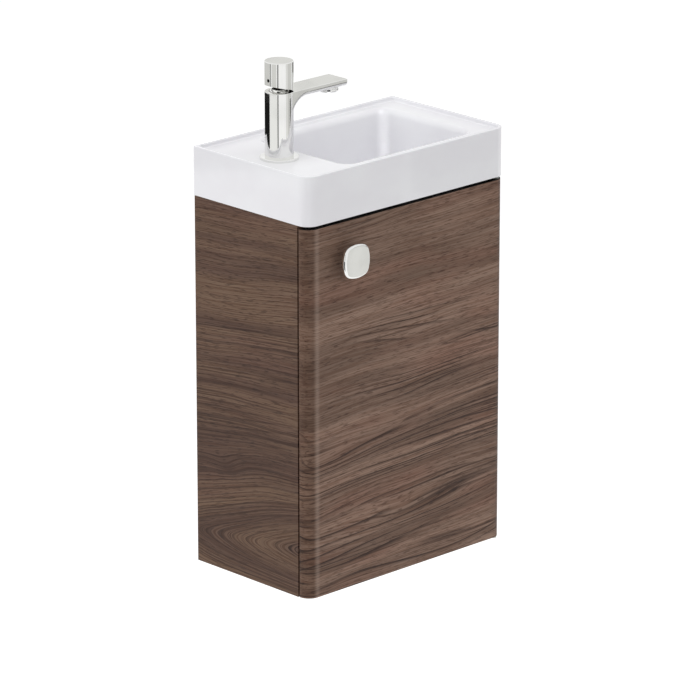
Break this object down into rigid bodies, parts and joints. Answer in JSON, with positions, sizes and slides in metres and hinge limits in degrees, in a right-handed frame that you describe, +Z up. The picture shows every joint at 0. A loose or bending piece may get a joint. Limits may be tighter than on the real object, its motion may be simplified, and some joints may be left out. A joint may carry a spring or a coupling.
{
  "type": "wall-hung vanity unit",
  "caption": "Wall-hung cloakroom vanity: dark wood cabinet with a hinged door, white washbasin top with a bowl at the right, and a chrome tap with a tipping handle.",
  "frame": {"origin": "centre of the four wall screw holes, on the wall plane at the back of the rear rails", "axes": "+X to the right seen from the front, +Y into the wall, +Z up"},
  "size_m": [0.402, 0.292, 0.779],
  "materials": {
    "walnut_board": "matt walnut-look decor with an open grain",
    "beech_dowel": "plain",
    "zinc_steel": "zinc plated",
    "white_nylon": "moulded",
    "grey_plastic": "moulded",
    "ferrite": "sintered",
    "black_rubber": "moulded",
    "chrome": "polished",
    "brass": "turned",
    "blackened_steel": "blackened",
    "black_acetal": "moulded",
    "alumina": "ground",
    "white_glaze": "glossy white glaze"
  },
  "bodies": {
    "cabinet": {"left_side_panel": "walnut_board", "right_side_panel": "walnut_board", "bottom_panel": "walnut_board", "upper_rear_rail": "walnut_board", "lower_rear_rail": "walnut_board", "shelf": "walnut_board", "dowels": "beech_dowel", "shelf_pins": "zinc_steel", "upper_hinge_plate": "zinc_steel", "lower_hinge_plate": "zinc_steel", "hinge_pins": "zinc_steel", "hinge_screws": "zinc_steel", "catch_screws": "zinc_steel", "tap_fixing_stud": "zinc_steel", "tap_clamp_plate": "zinc_steel", "cartridge_sleeve": "white_nylon", "catch_housing": "grey_plastic", "aerator_insert": "grey_plastic", "catch_magnet": "ferrite", "door_buffers": "black_rubber", "tap_base_gasket": "black_rubber", "tap_clamp_gasket": "black_rubber", "waste_upper_seal": "black_rubber", "waste_lower_seal": "black_rubber", "tap_body": "chrome", "tap_base_ring": "chrome", "aerator_ring": "chrome", "waste_grid": "chrome", "trap_inlet_nut": "chrome", "trap_inlet_pipe": "chrome", "trap_body": "chrome", "trap_cup": "chrome", "trap_outlet_nut": "chrome", "trap_outlet_pipe": "chrome", "wall_rosette": "chrome", "tap_clamp_nut": "brass", "waste_backnut": "brass", "fixed_ceramic_disc": "alumina", "basin": "white_glaze"},
    "door": {"door": "walnut_board", "door_knob": "chrome", "knob_screw": "zinc_steel", "hinge_bushes": "white_nylon", "strike_plate": "zinc_steel", "strike_screw": "zinc_steel"},
    "tap_carrier": {"cartridge_carrier": "black_acetal", "moving_ceramic_disc": "alumina"},
    "tap_handle": {"tap_handle": "chrome", "handle_stem": "brass", "handle_cross_pin": "brass", "handle_grub_screw": "blackened_steel"}
  },
  "joints": [
    {"name": "door_swing", "type": "hinge", "parent": "cabinet", "child": "door", "pos_m": [0.19, -0.228, 0], "axis": [0, 0, 1], "range_deg": [0, 110]},
    {"name": "tap_turn", "type": "hinge", "parent": "cabinet", "child": "tap_carrier", "pos_m": [-0.143, -0.119, 0.4365], "axis": [0, 0, 1], "range_deg": [-45, 45]},
    {"name": "tap_lift", "type": "hinge", "parent": "tap_carrier", "child": "tap_handle", "pos_m": [-0.143, -0.119, 0.4365], "axis": [0, -1, 0], "range_deg": [0, 20]}
  ]
}
